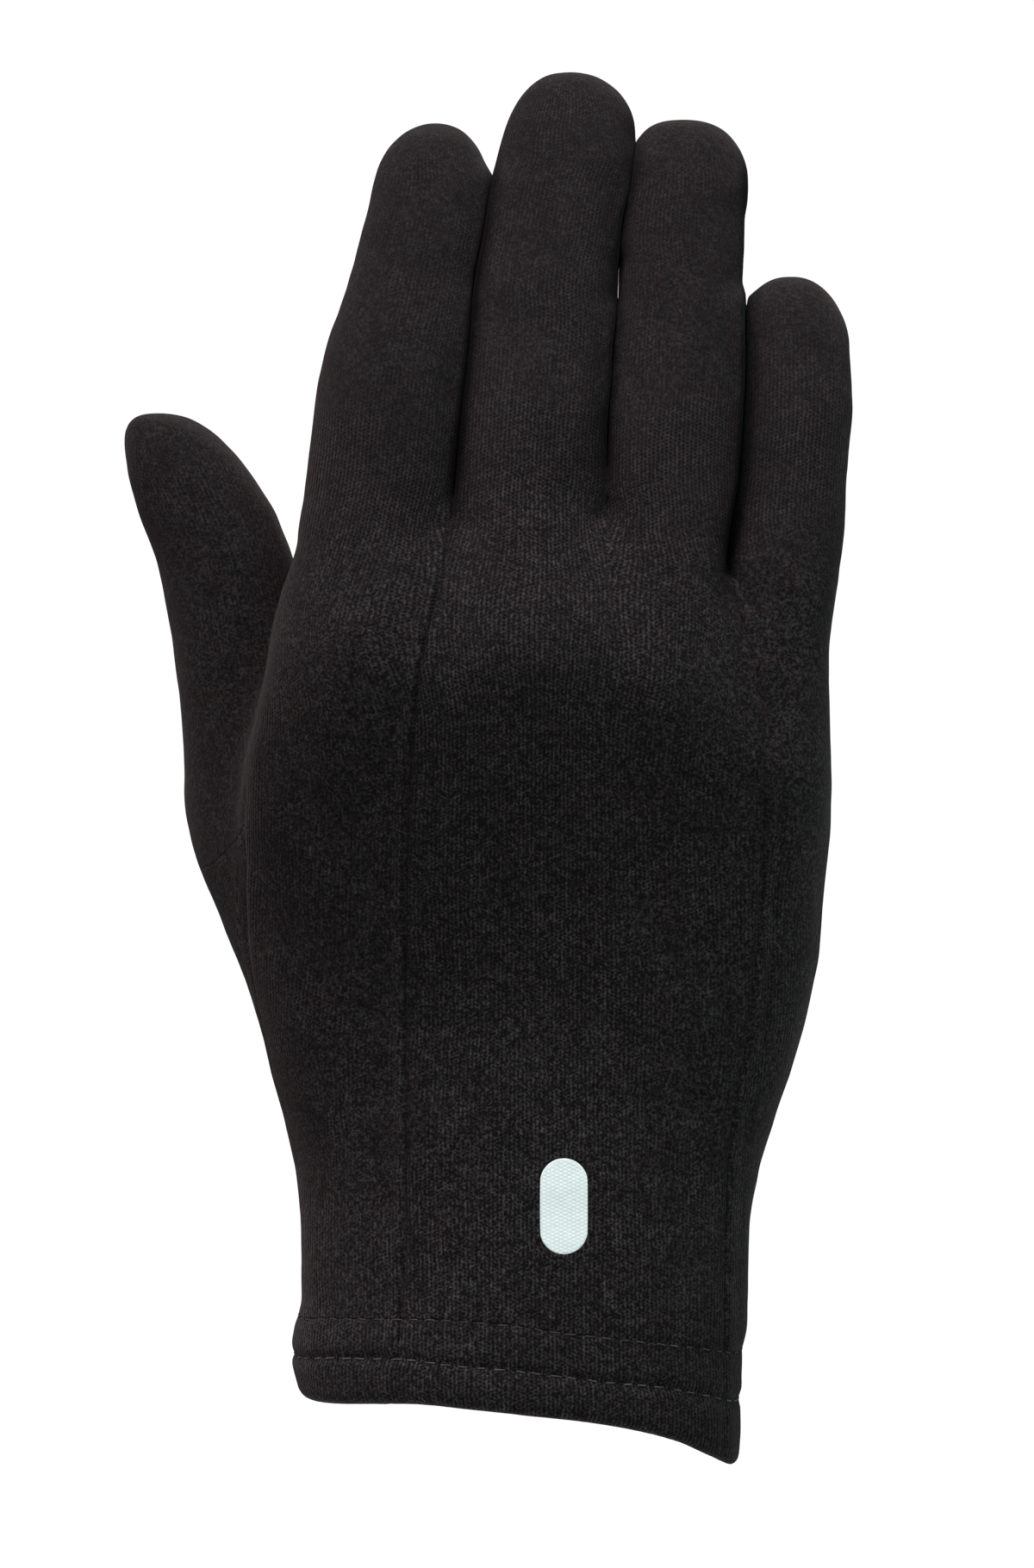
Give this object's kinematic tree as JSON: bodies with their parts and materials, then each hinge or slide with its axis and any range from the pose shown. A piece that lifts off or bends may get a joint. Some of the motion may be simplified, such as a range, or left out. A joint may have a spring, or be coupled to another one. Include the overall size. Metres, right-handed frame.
{
  "type": "glove liner",
  "caption": "Thin black knitted glove liner for a right hand, in its worn form: fingers nearly together, thumb out, short cuff with a turned-up stitched hem, open at the wrist.",
  "frame": {"origin": "centre of the wrist opening, where the wrist goes in", "axes": "+Z along the hand from the wrist to the fingertips, -Y out of the back of the hand, +Y out of the palm, -X towards the thumb"},
  "size_m": [0.1161, 0.0457, 0.2249],
  "materials": {
    "knit": "matt brushed fine knit",
    "hem_knit": "matt brushed fine knit, two layers, topstitched",
    "print": "matt printed film on knit"
  },
  "bodies": {
    "root": {"back_panel": "knit", "index_side_panel": "knit", "little_side_panel": "knit", "palm_panel": "knit", "thumb": "knit", "hem": "hem_knit", "printed_mark": "print"}
  },
  "joints": []
}
